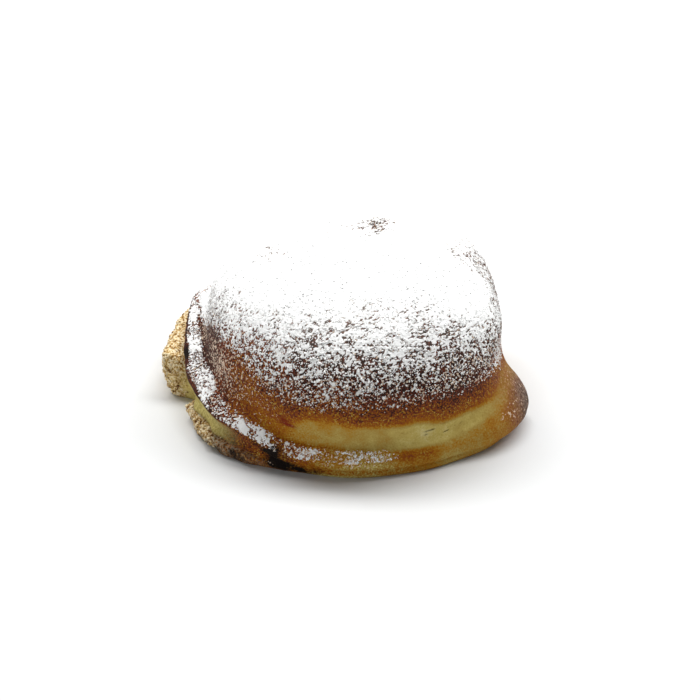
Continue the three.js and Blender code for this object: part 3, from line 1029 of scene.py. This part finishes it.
# %% Specks and clumps of sugar
SPECKS = 22000
SPECK_WIDTHS = (0.18, 0.42)  # mm
SPECK_STAND = 0.2  # how far a grain's middle stands out of the crust, in widths
SPECK_ONSET = 1.2  # a power: past 1, nearly bare crust has fewer specks
SPECKS_HIDDEN = 0.8  # the share that a full coat would hide, so they aren't made
CLUMPS = 2500
CLUMP_WIDTHS = (0.3, 0.65)  # mm
CLUMP_STAND = 0.15
CLUMPS_HIDDEN = 0.7
SCATTER_SEED = 5

rng = np.random.default_rng(SCATTER_SEED)
thin_cover = np.minimum(crust_cover, 1)
speck_density = thin_cover**SPECK_ONSET * (1 - SPECKS_HIDDEN * thin_cover)
clump_density = thin_cover * (1 - CLUMPS_HIDDEN * thin_cover)
speck_width = rng.uniform(*SPECK_WIDTHS, SPECKS)
clump_width = rng.uniform(*CLUMP_WIDTHS, CLUMPS)
specks = grains(*scatter(speck_density, SPECKS, rng), speck_width, fine_grain, SPECK_STAND, rng)
clumps = grains(*scatter(clump_density, CLUMPS, rng), clump_width, coarse_grain, CLUMP_STAND, rng)
for name, (points, triangles) in {"sugar_specks": specks, "sugar_clumps": clumps}.items():
    piece = add_piece(name, points, triangles, sugar, "icing_sugar")
    keep_levels(piece, {"depth": np.ones(len(points))})

# %% [markdown]
# ## Crumbs
# Where the lower dough tore, single crumbs cling to the face. Painted ones would be flat at the outline,
# so they are rough grains like the sugar's clumps, larger and in the torn dough's colours.

# %% Crumbs on the torn dough
CRUMBS = 1800
CRUMB_WIDTHS = (0.4, 1.0)  # mm
CRUMB_STAND = -0.05  # a crumb's middle lies a little under the face that it clings to, in widths
CRUMB_FACE = (0.15, 1.9)  # places along the line between which crumbs cling


def mottled(name, size, detail, stops, finish):
    """A dull material whose colour wanders along a ramp with a noise of this size in millimetres."""
    material, tree = new_material(name)
    place = add_node(tree, "TexCoord", output="Object")
    tone = add_node(tree, "TexNoise", {"Vector": place, "Scale": per_metre(size), "Detail": detail})
    colour = add_node(tree, "ValToRGB", {"Fac": tone}, stops=stops)
    shader = add_node(tree, "BsdfPrincipled", {"Base Color": colour} | finish)
    add_node(tree, "OutputMaterial", {"Surface": shader})
    return material


# Shortcrust crumb is dry and straw-coloured, and each crumb has baked a little differently.
torn_crumb = mottled("torn_crumb", GRANULE, 3.0, CRUMB_COLOURS, {"Roughness": 0.75, "IOR": 1.45})
clinging = (crust_along > CRUMB_FACE[0]) & (crust_along < CRUMB_FACE[1])
left_pale = (1 - crust_char) * (1 - crust_toasted)
crumb_density = torn_share(crust_angle, crust_along) * clinging * left_pale
crumb_width = rng.uniform(*CRUMB_WIDTHS, CRUMBS)
crumbs = grains(*scatter(crumb_density, CRUMBS, rng), crumb_width, coarse_grain, CRUMB_STAND, rng)
add_piece("torn_crumbs", *crumbs, torn_crumb, "crust")

# %% [markdown]
# ## Studio
# The photograph was taken on a white table under a broad soft light, bright enough to bleach the table
# and the sugar. The shadow lies under the front, so the lamp hangs overhead and a little behind, and it
# is wide from side to side. What the white surroundings throw back comes from a pale sky and from two
# weak lamps: one before the front, for the pale waist, and a low one on the left, for the torn tab.

# %% Floor and light
FLOOR_HALF = 2000.0  # mm
FLOOR_DROP = 0.05  # mm below the base, so that the two flat faces don't share a plane
MOTTLE = 40.0  # mm
TABLE_COLOURS = [(0.3, "#d9dada"), (0.7, "#dddede")]
# Each lamp is (name, width and length in metres, place in metres, watts).
LAMPS = [
    ("overhead_lamp", (1.9, 0.3), (0.05, 0.32, 0.82), 20.0),
    ("front_fill", (1.2, 0.6), (0.0, -1.0, 0.35), 1.2),
    ("left_fill", (0.6, 0.6), (-1.0, -0.35, 0.12), 1.5),
]
SKY_COLOUR = "#fbfdff"
SKY_STRENGTH = 0.09


def add_lamp(name, sides, place, watts):
    """A rectangular area lamp that faces the foot of the pastry."""
    light = bpy.data.lights.new(name, "AREA")
    light.shape = "RECTANGLE"
    light.size, light.size_y = sides
    light.energy = watts
    lamp = bpy.data.objects.new(name, light)
    lamp.location = place
    lamp.rotation_euler = lamp.location.to_track_quat("Z", "Y").to_euler()
    bpy.context.scene.collection.objects.link(lamp)


floor_mesh = bpy.data.meshes.new("floor")
corners = np.array([(-1, -1, 0), (1, -1, 0), (1, 1, 0), (-1, 1, 0)]) * FLOOR_HALF - (0, 0, FLOOR_DROP)
floor_mesh.from_pydata((corners * MM).tolist(), [], [(0, 1, 2, 3)])
# A painted table is matt, with a faint mottle.
floor_mesh.materials.append(mottled("white_table", MOTTLE, 2.0, TABLE_COLOURS, {"Roughness": 0.9}))
floor = bpy.data.objects.new("floor", floor_mesh)
bpy.context.scene.collection.objects.link(floor)

for lamp_row in LAMPS:
    add_lamp(*lamp_row)
world = bpy.data.worlds.new("pale_sky")
world.use_nodes = True
sky = world.node_tree.nodes["Background"]
sky.inputs["Color"].default_value = linear(SKY_COLOUR)
sky.inputs["Strength"].default_value = SKY_STRENGTH
bpy.context.scene.world = world
bpy.context.scene.view_settings.view_transform = "Standard"
print(len(LAMPS), "lamps over a floor of", 2 * FLOOR_HALF * MM, "m")

# %% [markdown]
# ## Camera
# The camera looks down at the front of the pastry. Its angle comes from the shape of the seam's oval, and
# its distance from how much larger the front looks than the back. The pastry sits left of and below the
# middle of the picture, so the camera is turned a little instead of being shifted, which keeps the other
# views centred.

# %% Place the camera
PICTURE = 700  # pixels each way
AXIS_PIXEL = (346, 388)  # where the foot of the dome's axis falls in the picture
DISTANCE = 432.0  # mm from the foot of the axis
ELEVATION = 33.0  # degrees above the table
LENS, SENSOR = 85.0, 36.0  # mm

focal_pixels = LENS / SENSOR * PICTURE
look_up = np.degrees(np.arctan((AXIS_PIXEL[1] - PICTURE / 2) / focal_pixels))
look_right = np.degrees(np.arctan((PICTURE / 2 - AXIS_PIXEL[0]) / focal_pixels))
height_angle = np.radians(ELEVATION)
camera_data = bpy.data.cameras.new("camera")
camera_data.lens = LENS
camera_data.sensor_width = SENSOR
camera = bpy.data.objects.new("camera", camera_data)
camera.location = (AXIS + DISTANCE * np.array([0, -np.cos(height_angle), np.sin(height_angle)])) * MM
camera.rotation_euler = np.radians([90 - ELEVATION + look_up, 0, -look_right])
bpy.context.scene.collection.objects.link(camera)
bpy.context.scene.camera = camera
print("degrees that the camera looks up and right of the axis:", look_up.round(2), look_right.round(2))
